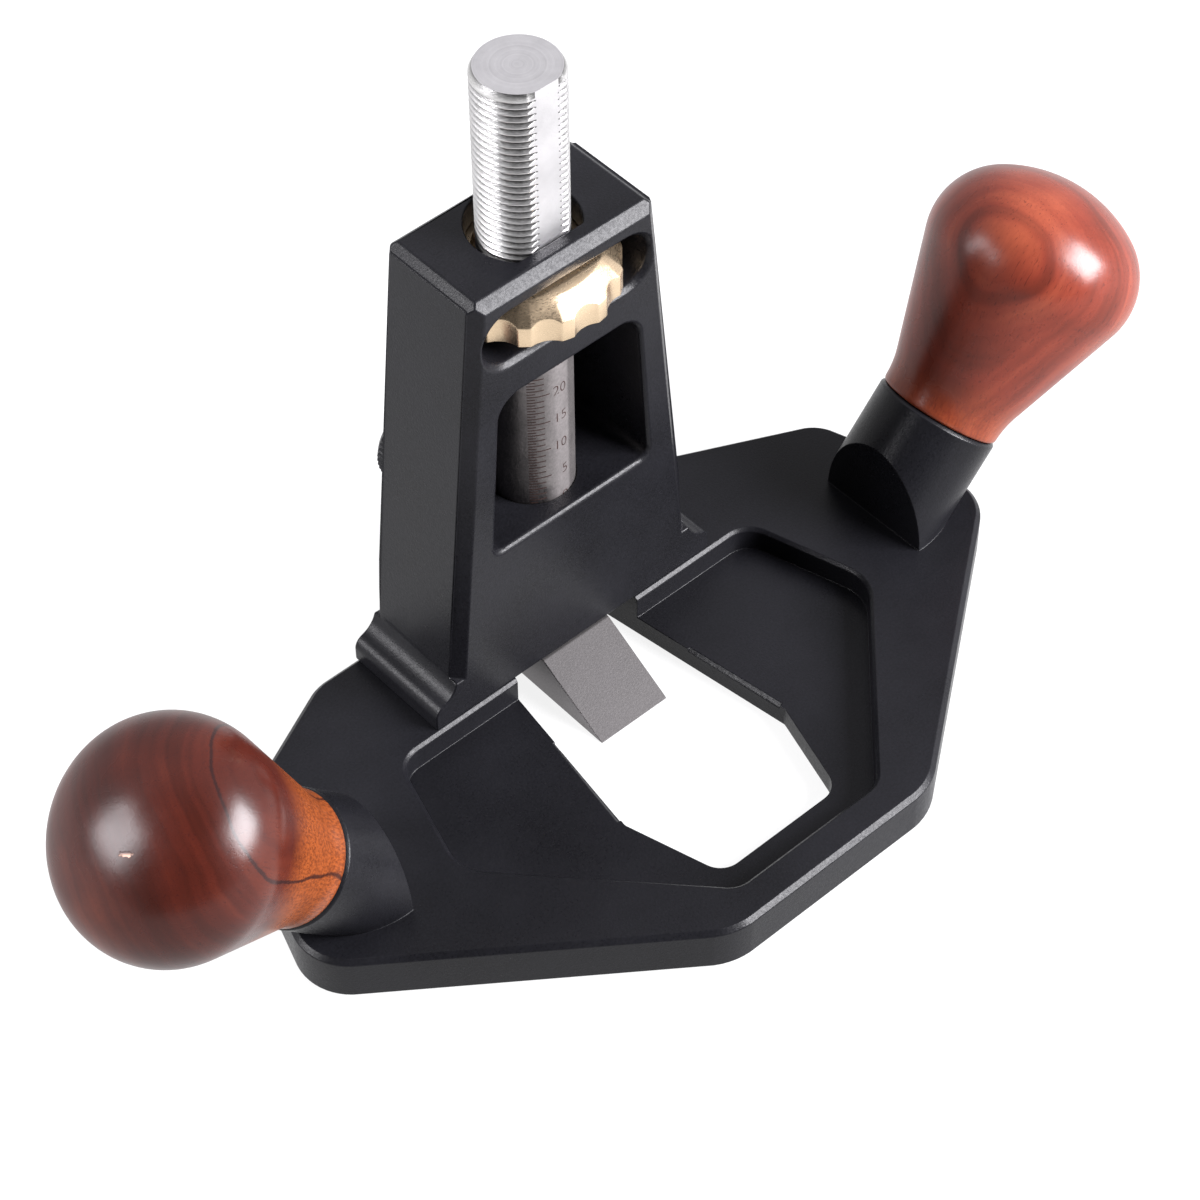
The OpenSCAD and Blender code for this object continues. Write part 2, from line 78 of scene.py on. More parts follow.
# ---- Places taken from the frame ----
post_low, post_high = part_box("depth_post")
AXIS_Y = (post_low.y + post_high.y) / 2
POST_R = (post_high.x - post_low.x) / 2
nut_low, nut_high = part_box("depth_nut")
lock_low, lock_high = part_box("lock_knob")
turns = [abs(c["ratio"]) for c in frame["record"]["behaviour"]["couplings"]
         if {c["joint"], c["follows"]} == {"nut_turn", "post_slide"}][0]
pitch = TAU / turns


def knob_place(side):
    """From a knob's own frame, with Z along it and its foot at 0, to the model's frame."""
    stud, insert = (sum(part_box("knob_%s_%s" % (part, side)), Vector()) / 2
                    for part in ("stud", "insert"))
    way = (insert - stud).normalized()
    foot = stud + way * (FIT - STUD_MIDDLE) * MM
    return Matrix.Translation(foot) @ Matrix.Rotation(math.atan2(way.x, way.z), 4, "Y")


# ---- Small helpers for meshes ----
def new_object(name, verts, faces, smooth_below=35.0):
    """A mesh object in metres, smooth except at edges sharper than the given angle."""
    mesh = bpy.data.meshes.new(name)
    mesh.from_pydata([tuple(v) for v in verts], [], faces)
    mesh.validate()
    bm = bmesh.new()
    bm.from_mesh(mesh)
    bmesh.ops.recalc_face_normals(bm, faces=bm.faces)
    bm.to_mesh(mesh)
    bm.free()
    mesh.shade_smooth()
    mesh.set_sharp_from_angle(angle=math.radians(smooth_below))
    obj = bpy.data.objects.new(name, mesh)
    bpy.context.scene.collection.objects.link(obj)
    return obj


def piece(obj, body, nodes, slot, *materials):
    """Sets what a piece is made of, what it stands for and what it rides on."""
    for material in materials:
        obj.data.materials.append(material)
    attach(obj, body)
    if nodes:
        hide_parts(*nodes)
    return obj


def rings_to_faces(count, around):
    """Quads between rings of points, with one polygon across each end."""
    faces = []
    for j in range(count - 1):
        for i in range(around):
            k = (i + 1) % around
            faces.append((j * around + i, j * around + k,
                          (j + 1) * around + k, (j + 1) * around + i))
    faces.append(tuple(reversed(range(around))))
    faces.append(tuple(range((count - 1) * around, count * around)))
    return faces


def turned(profile, around=128):
    """Points and faces of a profile of (radius, height) turned about Z."""
    verts = []
    for r, z in profile:
        for i in range(around):
            a = TAU * i / around
            verts.append((r * math.cos(a), r * math.sin(a), z))
    return verts, rings_to_faces(len(profile), around)


def arc(centre, radius, start, end, steps):
    """Points of an arc from start to end, in degrees."""
    return [(centre[0] + radius * math.cos(math.radians(start + (end - start) * i / steps)),
             centre[1] + radius * math.sin(math.radians(start + (end - start) * i / steps)))
            for i in range(steps + 1)]


MERGE = 0.002 * MM
# angles between two faces, in degrees
FLAT_ENOUGH = 0.4
BROKEN_ABOVE = 24
SHARP_ABOVE = 40


def machined(name, node, body, slot, edge, *materials):
    """A copy of a CAD node with its facets merged and its sharp edges broken."""
    mesh = frame["nodes"][node].data.copy()
    mesh.name = name
    mesh.materials.clear()
    bm = bmesh.new()
    bm.from_mesh(mesh)
    bmesh.ops.remove_doubles(bm, verts=bm.verts, dist=MERGE)
    bmesh.ops.dissolve_limit(bm, angle_limit=math.radians(FLAT_ENOUGH), verts=bm.verts, edges=bm.edges)
    sharp = [e for e in bm.edges if len(e.link_faces) == 2
             and e.calc_face_angle(0) > math.radians(BROKEN_ABOVE)]
    bmesh.ops.bevel(bm, geom=sharp, offset=edge, segments=2, profile=0.5,
                    affect="EDGES", clamp_overlap=False, harden_normals=False)
    bm.to_mesh(mesh)
    bm.free()
    obj = bpy.data.objects.new(name, mesh)
    bpy.context.scene.collection.objects.link(obj)
    mesh.shade_smooth()
    mesh.set_sharp_from_angle(angle=math.radians(SHARP_ABOVE))
    weighted = obj.modifiers.new("normals", "WEIGHTED_NORMAL")
    weighted.keep_sharp = True
    weighted.weight = 80
    return piece(obj, body, [node], slot, *materials)


# ---- Small helpers for materials ----
def srgb(text):
    """Linear colour of a six-digit sRGB colour."""
    out = []
    for i in (0, 2, 4):
        c = int(text[i:i + 2], 16) / 255
        out.append(c / 12.92 if c <= 0.04045 else ((c + 0.055) / 1.055) ** 2.4)
    return (*out, 1.0)


class Nodes:
    """A material under construction: makes nodes and joins them."""

    def __init__(self, name, **sockets):
        self.material = bpy.data.materials.new(name)
        self.material.use_nodes = True
        self.tree = self.material.node_tree
        self.shader = self.tree.nodes["Principled BSDF"]
        self.turn, self.shift = (0, 0, 0), (0, 0, 0)
        for key, value in sockets.items():
            self.shader.inputs[key.replace("_", " ").title().replace("Ior", "IOR")
                               ].default_value = value

    def add(self, kind, inputs=None, **settings):
        """A node with its inputs given as values or as sockets to join."""
        node = self.tree.nodes.new("ShaderNode" + kind)
        for key, value in settings.items():
            setattr(node, key, value)
        for key, value in (inputs or {}).items():
            if isinstance(value, bpy.types.NodeSocket):
                self.tree.links.new(value, node.inputs[key])
            else:
                node.inputs[key].default_value = value
        return node

    def set_frame(self, frame):
        """Takes all places from now on in the given frame, a matrix in metres."""
        back = frame.inverted()
        self.turn, self.shift = back.to_euler(), back.translation / MM

    def place(self, scale=(1, 1, 1)):
        """Places in millimetres of the material's own frame, drawn out by scale."""
        coords = self.add("TexCoord")
        big = self.add("Mapping", {"Vector": coords.outputs["Object"],
                                   "Scale": (1 / MM, 1 / MM, 1 / MM), "Rotation": self.turn,
                                   "Location": self.shift})
        fine = self.add("Mapping", {"Vector": big.outputs[0], "Scale": scale})
        return fine.outputs[0]

    def dot(self, vector, way):
        return self.add("VectorMath", {0: vector, 1: way}, operation="DOT_PRODUCT").outputs["Value"]

    def shifted(self, vector, centre):
        return self.add("VectorMath", {0: vector, 1: centre}, operation="SUBTRACT").outputs[0]

    def noise(self, vector, scale, detail, roughness):
        node = self.add("TexNoise", {"Vector": vector, "Scale": scale, "Detail": detail,
                                     "Roughness": roughness})
        return node.outputs["Fac"]

    def math(self, operation, a, b=None):
        inputs = {0: a} if b is None else {0: a, 1: b}
        return self.add("Math", inputs, operation=operation).outputs[0]

    def span(self, value, low, high, to_low=0.0, to_high=1.0):
        node = self.add("MapRange", {"Value": value, "From Min": low, "From Max": high,
                                     "To Min": to_low, "To Max": to_high})
        return node.outputs[0]

    def ramp(self, value, stops):
        node = self.add("ValToRGB", {"Fac": value})
        ramp = node.color_ramp
        while len(ramp.elements) < len(stops):
            ramp.elements.new(0.5)
        for element, (at, colour) in zip(ramp.elements, stops):
            element.position = at
            element.color = colour
        return node.outputs["Color"]

    def mix(self, factor, a, b, blend="MIX"):
        node = self.add("Mix", {0: factor, 6: a, 7: b}, data_type="RGBA", blend_type=blend)
        return node.outputs[2]

    def length(self, a, b):
        """Length of a vector whose two parts are given."""
        return self.math("SQRT", self.math("ADD", self.math("MULTIPLY", a, a),
                                           self.math("MULTIPLY", b, b)))

    def about_post(self):
        """X, Y and Z in millimetres from the post's axis."""
        self.set_frame(Matrix.Translation((0, AXIS_Y, 0)))
        return self.add("SeparateXYZ", {"Vector": self.place()}).outputs

    def shaded(self, colour, shade):
        """A colour made darker or lighter by a factor."""
        grey = self.add("CombineColor", {"Red": shade, "Green": shade, "Blue": shade})
        return self.mix(1.0, colour, grey.outputs[0], "MULTIPLY")

    def bump(self, height, distance, strength):
        return self.add("Bump", {"Height": height, "Distance": distance,
                                 "Strength": strength}).outputs[0]

    def link(self, socket, value):
        self.tree.links.new(value, self.shader.inputs[socket])


def anodised(name, base, roughness=0.33, grain=0.035):
    """Black anodised aluminium over a bead-blasted surface that sparkles in the light."""
    m = Nodes(name, metallic=0.0, ior=1.5, specular_ior_level=0.14)
    fine = m.place()
    blast = m.noise(fine, 3.0, 3, 0.7)
    cloud = m.noise(fine, 0.06, 3, 0.55)
    speck = m.noise(fine, 2.6, 2, 0.7)
    tone = m.math("ADD", m.span(cloud, 0.3, 0.7, -0.25, 0.25), m.span(blast, 0.3, 0.7, -0.3, 0.3))
    light = tuple(min(1, c * 1.5) for c in base[:3]) + (1,)
    dark = tuple(c * 0.55 for c in base[:3]) + (1,)
    m.link("Base Color", m.mix(m.math("ADD", tone, 0.45), dark, light))
    m.link("Roughness", m.math("ADD", m.span(cloud, 0.3, 0.7, roughness - 0.03, roughness + 0.04),
                               m.span(speck, 0.35, 0.65, -0.06, 0.06)))
    m.link("Normal", m.bump(blast, grain * MM, 0.85))
    return m.material


def metal(name, colour, roughness, grain, stretch=(1, 1, 1), scale=4.0, bare=1.0):
    """Bare metal with fine marks, drawn out by stretch where it is turned or ground."""
    m = Nodes(name, metallic=bare, specular_ior_level=0.1)
    marks = m.noise(m.place(stretch), scale, 3, 0.6)
    cloud = m.noise(m.place(), 0.15, 3, 0.6)
    shade = m.span(cloud, 0.3, 0.7, 0.88, 1.06)
    m.link("Base Color", m.shaded(colour, shade))
    m.link("Roughness", m.math("ADD", m.span(marks, 0.3, 0.7, roughness - 0.06, roughness + 0.06),
                               m.span(cloud, 0.3, 0.7, -0.03, 0.03)))
    m.link("Normal", m.bump(marks, grain * MM, 0.5))
    return m.material


def end_face_metal(name, colour, roughness):
    """Metal faced on a lathe, with fine rings about the post's axis."""
    m = Nodes(name, metallic=1.0)
    around = m.about_post()
    radius = m.length(around["X"], around["Y"])
    rings = m.noise(m.add("CombineXYZ", {"X": radius}).outputs[0], 3.2, 3, 0.7)
    cloud = m.noise(m.place(), 0.5, 3, 0.6)
    shade = m.math("MULTIPLY", m.span(rings, 0.3, 0.7, 0.86, 1.04), m.span(cloud, 0.3, 0.7, 0.93, 1.05))
    m.link("Base Color", m.shaded(colour, shade))
    m.link("Roughness", m.span(rings, 0.3, 0.7, roughness - 0.08, roughness + 0.08))
    m.link("Normal", m.bump(rings, 0.03 * MM, 0.6))
    return m.material


def threaded(name, colour, roughness, crest, root):
    """Bright turned steel, with painted shade darkening its thread roots."""
    m = Nodes(name, metallic=1.0)
    around = m.about_post()
    radius = m.length(around["X"], around["Y"])
    marks = m.noise(m.place((1, 1, 6)), 2.0, 3, 0.6)
    cloud = m.noise(m.place(), 0.25, 3, 0.6)
    ragged = m.math("ADD", radius, m.span(marks, 0.3, 0.7, -0.08, 0.08))
    # painted shade: the colour falls towards the thread roots, where the crevices would be shaded
    shade = m.math("MULTIPLY", m.span(ragged, root + 0.05, crest - 0.12, 0.22, 1.0),
                   m.span(cloud, 0.3, 0.7, 0.86, 1.06))
    m.link("Base Color", m.shaded(colour, shade))
    m.link("Roughness", m.span(marks, 0.3, 0.7, roughness - 0.06, roughness + 0.06))
    m.link("Normal", m.bump(marks, 0.02 * MM, 0.5))
    return m.material


# angles round the post, in degrees from +X
SHINY_TO, DULL_FROM = -112, -92
BAND_LEFT, BAND_RIGHT = (-74, -69), (-28, -38)
RIB_STEP = 0.62
RIB_LEAN = 5.0


def graduated(name, colour, roughness):
    """Drawn steel of the graduated part, with a coarser ribbed band beside the numbers."""
    m = Nodes(name)
    around = m.about_post()
    angle = m.math("ARCTAN2", around["Y"], around["X"])
    m.link("Metallic", m.span(angle, math.radians(SHINY_TO), math.radians(DULL_FROM), 1.0, 0.62))
    band = m.math("MULTIPLY", *(m.span(angle, math.radians(outside), math.radians(inside))
                                for outside, inside in (BAND_LEFT, BAND_RIGHT)))
    marks = m.noise(m.place((1, 1, 0.35)), 3.0, 4, 0.65)
    rib_phase = m.math("SUBTRACT", m.math("MULTIPLY", around["Z"], TAU / RIB_STEP),
                       m.math("MULTIPLY", angle, TAU / RIB_STEP * RIB_LEAN))
    ribs = m.math("SINE", m.math("ADD", rib_phase, m.span(marks, 0.3, 0.7, -1.2, 1.2)))
    rib = m.math("MULTIPLY", m.span(ribs, -0.6, 0.8), band)
    cloud = m.noise(m.place(), 0.3, 3, 0.6)
    grit = m.noise(m.place(), 2.2, 3, 0.7)
    shade = m.math("MULTIPLY", m.span(cloud, 0.3, 0.7, 0.85, 1.08), m.span(grit, 0.3, 0.7, 0.80, 1.10))
    shade = m.math("MULTIPLY", shade, m.span(rib, 0.0, 1.0, 1.0, 0.35))
    shade = m.math("MULTIPLY", shade, m.span(band, 0.0, 1.0, 1.0, 0.6))
    m.link("Base Color", m.shaded(colour, shade))
    m.link("Roughness", m.math("ADD", m.span(marks, 0.3, 0.7, roughness - 0.05, roughness + 0.07),
                               m.span(band, 0.0, 1.0, 0.0, 0.12)))
    m.link("Normal", m.bump(m.math("SUBTRACT", m.math("MULTIPLY", grit, 0.5), rib), 0.06 * MM, 0.5))
    return m.material


PORE, NECK_PALE, NECK_DARK = srgb("24090a"), srgb("753a19"), srgb("48200e")
# the two chip colours are a painted highlight and painted shade for the two walls of the chip
VEIN, CHIP_PAINTED_HIGHLIGHT, CHIP_PAINTED_SHADE = srgb("1c0b0b"), srgb("c8a08c"), srgb("33140e")


def wood(name, frame_of_knob, shades, across, vein, neck, chip=None):
    """Lacquered hardwood with its fibres along Z, in millimetres of the knob's own frame.

    Shades are the dark, middle and light colours. Across is the direction across the growth
    layers. Vein is the height, half width and strength of one dark line between layers, neck
    the height and strength of the light band there, and chip the middle, length direction,
    cross direction, half length and half width of a small chip.
    """
    m = Nodes(name, ior=1.5, specular_ior_level=0.0, coat_weight=0.8, coat_ior=1.38)
    m.set_frame(frame_of_knob)
    here = m.place()
    warp = m.noise(m.place((0.05, 0.05, 0.035)), 1.0, 3, 0.5)
    flat_height = m.dot(here, across)
    height = m.math("ADD", flat_height, m.span(warp, 0.3, 0.7, -1.5, 1.5))
    along = m.add("SeparateXYZ", {"Vector": here}).outputs["Z"]
    layer = m.add("CombineXYZ", {"X": height, "Y": m.math("MULTIPLY", along, 0.06)}).outputs[0]
    cloud = m.noise(m.place((0.075, 0.075, 0.045)), 1.0, 2, 0.5)
    bands = m.math("ADD", m.math("MULTIPLY", m.noise(layer, 0.42, 3, 0.6), 0.45),
                   m.math("MULTIPLY", cloud, 0.55))
    colour = m.ramp(bands, [(0.34, shades[0]), (0.50, shades[1]), (0.68, shades[2])])
    # fibres along the knob, and pores that show as dots on its ends
    fibre = m.noise(m.place((2.0, 2.0, 0.16)), 1.0, 3, 0.6)
    colour = m.mix(m.span(fibre, 0.35, 0.75, 0.0, 0.22), colour, shades[0])
    pores = m.noise(m.place((4.2, 4.2, 0.7)), 1.0, 1, 0.5)
    pore = m.span(pores, 0.62, 0.72)
    colour = m.mix(m.math("MULTIPLY", pore, 0.40), colour, PORE)
    # a lighter band by the neck, speckled with pores
    rim = m.math("SUBTRACT", along, m.span(warp, 0.3, 0.7, -3.0, 3.0))
    pale = m.math("MULTIPLY", m.span(rim, neck[0] + 4.0, neck[0] - 4.0), neck[1])
    speckle = m.span(m.noise(m.place((3.0, 3.0, 1.3)), 1.0, 2, 0.6), 0.40, 0.62, 0.0, 0.75)
    colour = m.mix(pale, colour, m.mix(speckle, NECK_PALE, NECK_DARK))
    # one dark line
    layer_height = m.math("ADD", flat_height, m.span(warp, 0.3, 0.7, -0.7, 0.7))
    gap = m.math("ABSOLUTE", m.math("SUBTRACT", layer_height, vein[0]))
    ragged = m.math("ADD", gap, m.span(fibre, 0.3, 0.7, -0.3 * vein[1], 0.3 * vein[1]))
    line = m.math("MULTIPLY", m.span(ragged, vein[1], vein[1] * 0.4), vein[2])
    colour = m.mix(line, colour, VEIN)
    # relief of the fibres and pores under the lacquer
    relief = m.math("SUBTRACT", m.math("MULTIPLY", fibre, 0.35), m.math("MULTIPLY", pore, 0.6))
    if chip:
        middle, long_way, cross_way, half_long, half_wide = chip
        off = m.shifted(here, middle)
        a = m.math("DIVIDE", m.dot(off, long_way), half_long)
        b = m.math("DIVIDE", m.dot(off, cross_way), half_wide)
        broken = m.math("ADD", m.length(a, b), m.span(m.noise(here, 2.5, 3, 0.7), 0.3, 0.7, -0.4, 0.4))
        # the dent itself is real; its colour runs from a painted highlight on one wall to painted shade
        # on the other
        hollow = m.span(broken, 1.0, 0.75)
        shade = m.span(b, -0.6, 0.5)
        colour = m.mix(hollow, colour, m.mix(shade, CHIP_PAINTED_HIGHLIGHT, CHIP_PAINTED_SHADE))
        relief = m.math("SUBTRACT", relief, m.math("MULTIPLY", hollow, 6.0))
    m.link("Base Color", colour)
    m.link("Roughness", m.span(fibre, 0.3, 0.7, 0.45, 0.6))
    wear = m.noise(m.place((0.12, 0.12, 0.12)), 1.0, 3, 0.6)
    m.link("Coat Roughness", m.span(wear, 0.3, 0.7, 0.24, 0.33))
    m.link("Normal", m.bump(relief, 0.05 * MM, 0.4))
    m.link("Coat Normal", m.bump(m.math("ADD", m.noise(here, 0.6, 3, 0.6),
                                        m.math("MULTIPLY", relief, 0.25)), 0.05 * MM, 0.35))
    return m.material


black = anodised("black_anodised", srgb("101013"))
black_tower = anodised("black_anodised_tower", srgb("121215"))
black_lock = anodised("black_anodised_lock", srgb("101013"))
steel_bright = threaded("steel_threads", (0.54, 0.535, 0.53, 1), 0.34, POST_R / MM,
                        POST_R / MM - THREAD_DEPTH)
steel_flat = metal("steel_milled_flat", (0.62, 0.61, 0.62, 1), 0.36, 0.05, (1, 1, 1), 3.5)
# the graduated steel's dark base colour is partly its satin drawn finish and partly painted shade from
# the tower's window round it
scale_steel_painted_shade = graduated("steel_scale", (0.24, 0.222, 0.22, 1), 0.34)
steel_end = end_face_metal("steel_end", (0.62, 0.61, 0.62, 1), 0.34)
steel_dark = metal("steel_black_oxide", (0.13, 0.13, 0.14, 1), 0.40, 0.03)
steel_pin = metal("steel_ground", (0.62, 0.61, 0.60, 1), 0.28, 0.02, (1, 1, 6), 2.0)
steel_blade = metal("steel_blade", (0.056, 0.053, 0.053, 1), 0.60, 0.06, (1, 1, 1), 4.0, 0.5)
steel_blade_side = metal("steel_blade_side", (0.21, 0.20, 0.205, 1), 0.50, 0.05, (1, 1, 1), 4.0)
brass = metal("brass_nut", (0.66, 0.51, 0.345, 1), 0.30, 0.02, (1, 1, 5), 2.5)
brass_inner = metal("brass_inserts", (0.78, 0.60, 0.34, 1), 0.30, 0.02)
wood_left = wood("hardwood_left", knob_place("left"), (srgb("260c07"), srgb("38130c"), srgb("4e1f12")),
                 (0.84, -0.511, -0.182), (7.25, 0.20, 0.85), (15.0, 0.9),
                 ((-0.5, -4.0, 35.9), (0.6, -0.79, -0.15), (0.79, 0.6, 0.1), 1.0, 0.36))
wood_right = wood("hardwood_right", knob_place("right"), (srgb("3f1810"), srgb("64281c"), srgb("823f2b")),
                  (-0.972, -0.234, 0.015), (14.1, 0.5, 0.22), (4.0, 0.35))
mark = metal("scale_marks", (0.035, 0.020, 0.018, 1), 0.55, 0.02, (1, 1, 1), 4.0, 0.2)

# ---- Plate and tower ----
EDGE = 0.12 * MM
TOWER_EDGE = 0.25 * MM
BLADE_EDGE = 0.15 * MM
SIDEWAYS = 0.7
machined("sole_plate", "base_plate", "frame", "anodised_base", EDGE, black)
machined("guide_tower", "tower", "frame", "anodised_tower", TOWER_EDGE, black_tower)
cutter = machined("cutter", "blade", "post", "blade_steel", BLADE_EDGE, steel_blade,
                  steel_blade_side)
for face in cutter.data.polygons:
    face.material_index = int(abs(face.normal.x) > SIDEWAYS)

# ---- Post: plain and graduated below, threaded above with a milled flat in front ----
POST_FLAT = 5.15
FLAT_LOW = 62.0
FLAT_SHOULDER = 0.01
THREADED_LEN = 40
CHAMFER_H, CHAMFER_W = 0.9, 0.5
FOOT_BREAK = 0.3
THREAD_START = post_high.z / MM - THREADED_LEN
THREAD_END = post_high.z / MM - CHAMFER_H
# heights over which the thread deepens from its ends, and half a crest as a share of the pitch
THREAD_LEAD, THREAD_RUNOUT = 1.5, 0.3
HALF_CREST = 0.1
RING_STEP = 1.5
RINGS_PER_TURN = 12
AROUND = 240
THREAD_STEEL, FLAT_STEEL, SCALE_STEEL, END_STEEL = range(4)
# how squarely a face of the flat looks forward, and how close a face is to the flat or the top
FORWARD, CLOSE = 0.995, 0.02


def thread_radius(angle, z):
    """Radius of the post's surface at a turn and a height, in millimetres."""
    full = POST_R / MM
    turn = (z / (pitch / MM) - angle / TAU) % 1.0
    groove = max(0.0, (abs(turn - 0.5) - HALF_CREST) / (0.5 - HALF_CREST))
    start = min(1.0, max(0.0, (z - THREAD_START) / THREAD_LEAD))
    end = min(1.0, max(0.0, (THREAD_END - z) / THREAD_RUNOUT))
    return full - THREAD_DEPTH * groove * min(start, end)


def post_rings():
    """Rings of points up the post, close together along its thread."""
    bottom, top = post_low.z / MM, post_high.z / MM
    heights = [bottom, bottom + FOOT_BREAK]
    while heights[-1] < FLAT_LOW - RING_STEP:
        heights.append(heights[-1] + RING_STEP)
    heights += [FLAT_LOW - FLAT_SHOULDER, FLAT_LOW]
    z = THREAD_START
    while z < THREAD_END:
        heights.append(z)
        z += pitch / MM / RINGS_PER_TURN
    heights += [THREAD_END, top]
    rings = []
    for z in heights:
        ring = []
        for i in range(AROUND):
            a = TAU * i / AROUND
            r = thread_radius(a, z)
            if z == top:
                r = POST_R / MM - CHAMFER_W
            if z == bottom:
                r -= FOOT_BREAK
            if z >= FLAT_LOW and -math.sin(a) * r > POST_FLAT:
                r = POST_FLAT / -math.sin(a)
            ring.append((r * math.cos(a) * MM, AXIS_Y + r * math.sin(a) * MM, z * MM))
        rings.append(ring)
    return rings


rings = post_rings()
post_verts = [p for ring in rings for p in ring]
post = new_object("graduated_post", post_verts, rings_to_faces(len(rings), AROUND), 50)
piece(post, "post", ["depth_post"], "post_steel", steel_bright, steel_flat, scale_steel_painted_shade, steel_end)
for face in post.data.polygons:
    middle = face.center
    if middle.z > post_high.z - CLOSE * MM:
        face.material_index = END_STEEL
    elif middle.z < FLAT_LOW * MM:
        face.material_index = SCALE_STEEL
    elif face.normal.y < -FORWARD and AXIS_Y - middle.y > (POST_FLAT - CLOSE) * MM:
        face.material_index = FLAT_STEEL

# ---- Scale engraved on the post ----
SCALE_ZERO = 33.4
SCALE_TOP = 25
TICK_W = 0.17
TICKS_PER_MM = 2
TICK_STEPS = 12
NUMBER_STEP = 5
SKIN = 0.012
TICK_LEFT = -132.0
TICK_ENDS = {"half": -121.5, "one": -110.0, "five": -102.5}
DIGITS_RIGHT = -77.0
DIGIT_SIZE = 2.35
DIGIT_THINNED = -0.03


def on_post(angle, z):
    """A point just over the post's round surface, in metres."""
    r = POST_R / MM + SKIN
    return (r * math.cos(angle) * MM, AXIS_Y + r * math.sin(angle) * MM, z * MM)


def scale_ticks():
    """One thin strip for each half millimetre of the scale."""
    verts, faces = [], []
    for k in range(TICKS_PER_MM * SCALE_TOP + 1):
        z = SCALE_ZERO + k / TICKS_PER_MM
        whole = k % TICKS_PER_MM == 0
        numbered = k % (TICKS_PER_MM * NUMBER_STEP) == 0
        kind = "five" if numbered else "one" if whole else "half"
        a0, a1 = math.radians(TICK_LEFT), math.radians(TICK_ENDS[kind])
        base = len(verts)
        for i in range(TICK_STEPS + 1):
            a = a0 + (a1 - a0) * i / TICK_STEPS
            verts.append(on_post(a, z - TICK_W / 2))
            verts.append(on_post(a, z + TICK_W / 2))
        for i in range(TICK_STEPS):
            n = base + 2 * i
            faces.append((n, n + 2, n + 3, n + 1))
    return verts, faces


def scale_digits():
    """Numbers as thin flat shapes, wrapped round the post beside their ticks."""
    verts, faces = [], []
    for value in range(0, SCALE_TOP + 1, NUMBER_STEP):
        text = bpy.data.curves.new("digits", "FONT")
        text.body = str(value)
        text.size = DIGIT_SIZE
        text.offset = DIGIT_THINNED
        holder = bpy.data.objects.new("digits", text)
        bpy.context.scene.collection.objects.link(holder)
        bpy.context.view_layer.update()
        mesh = bpy.data.meshes.new_from_object(holder.evaluated_get(
            bpy.context.evaluated_depsgraph_get()))
        base = len(verts)
        right = max(v.co.x for v in mesh.vertices)
        middle = (min(v.co.y for v in mesh.vertices) + max(v.co.y for v in mesh.vertices)) / 2
        for v in mesh.vertices:
            angle = math.radians(DIGITS_RIGHT) + (v.co.x - right) / (POST_R / MM)
            verts.append(on_post(angle, SCALE_ZERO + value + v.co.y - middle))
        for p in mesh.polygons:
            faces.append(tuple(base + i for i in p.vertices))
        bpy.data.objects.remove(holder)
        bpy.data.curves.remove(text)
        bpy.data.meshes.remove(mesh)
    return verts, faces


for name, (verts, faces) in (("post_ticks", scale_ticks()), ("post_numbers", scale_digits())):
    marks = new_object(name, verts, faces)
    piece(marks, "post", [], "post_steel", mark)

# ---- Thumb nut ----
NUT_TOP, NUT_BOTTOM = nut_high.z / MM, nut_low.z / MM
NUT_R = (nut_high.x - nut_low.x) / 2 / MM
LOBES = 14
RIM_H = 6.0
HUB_R = 8.5
BORE_R = POST_R / MM + FIT
BORE_BREAK = 0.6
HUB_BREAK = 0.3
BEVEL = 2.6
BREAK = 0.4
SCALLOP_R = 3.7
SCALLOP_OUT = 3.0
SCALLOP_START = 10.6
LAND_ROUND = 0.12
RIM_DROP, RIM_RISE = 0.12, 0.13
TOP_BREAK = 0.2
POINTS_PER_LOBE = 48


def nut_outline(angle):
    """Radius of the rim at an angle: round lands between concave finger scallops."""
    part = ((angle - math.radians(SCALLOP_START)) * LOBES / TAU + 0.5) % 1.0 - 0.5
    off = part * TAU / LOBES
    reach = NUT_R + SCALLOP_OUT
    across = reach * math.sin(off)
    if abs(across) >= SCALLOP_R:
        return NUT_R
    hollow = reach * math.cos(off) - math.sqrt(SCALLOP_R ** 2 - across ** 2)
    # the two curves meet in a small round
    gap = max(LAND_ROUND - abs(NUT_R - hollow), 0) / LAND_ROUND
    return min(NUT_R, hollow) - gap * gap * LAND_ROUND / 4


def nut_mesh():
    """The nut as one closed column of rings about the post's axis."""
    around = LOBES * POINTS_PER_LOBE
    bottom = NUT_TOP - RIM_H
    cone_r = NUT_R - BEVEL
    verts = []
    for i in range(around):
        a = TAU * i / around
        r = nut_outline(a)
        edge_z = NUT_TOP - (r - cone_r)
        column = [(BORE_R, NUT_BOTTOM + BORE_BREAK), (BORE_R + BORE_BREAK, NUT_BOTTOM),
                  (HUB_R - HUB_BREAK, NUT_BOTTOM), (HUB_R, NUT_BOTTOM + HUB_BREAK),
                  (HUB_R, bottom), (r - BREAK, bottom), (r, bottom + BREAK),
                  (r, edge_z - RIM_DROP), (r - RIM_RISE, edge_z + RIM_RISE),
                  (cone_r + TOP_BREAK, NUT_TOP - TOP_BREAK), (cone_r - TOP_BREAK, NUT_TOP),
                  (BORE_R + BORE_BREAK, NUT_TOP), (BORE_R, NUT_TOP - BORE_BREAK)]
        rows = len(column)
        for rr, z in column:
            verts.append((rr * math.cos(a) * MM, AXIS_Y + rr * math.sin(a) * MM, z * MM))
    faces = []
    for i in range(around):
        k = (i + 1) % around
        for j in range(rows):
            n = (j + 1) % rows
            faces.append((i * rows + j, k * rows + j, k * rows + n, i * rows + n))
    return verts, faces


nut = new_object("thumb_nut", *nut_mesh(), 32)
piece(nut, "nut", ["depth_nut"], "nut_brass", brass)

# ---- Wooden knobs ----
KNOB_LEN, KNOB_R, NECK_R = 36.4, 15.49, 8.95
SHOULDER_R, SHOULDER_Z, NECK_SWEEP, FLANK = 10.5, 24.5, 14.0, 18.5


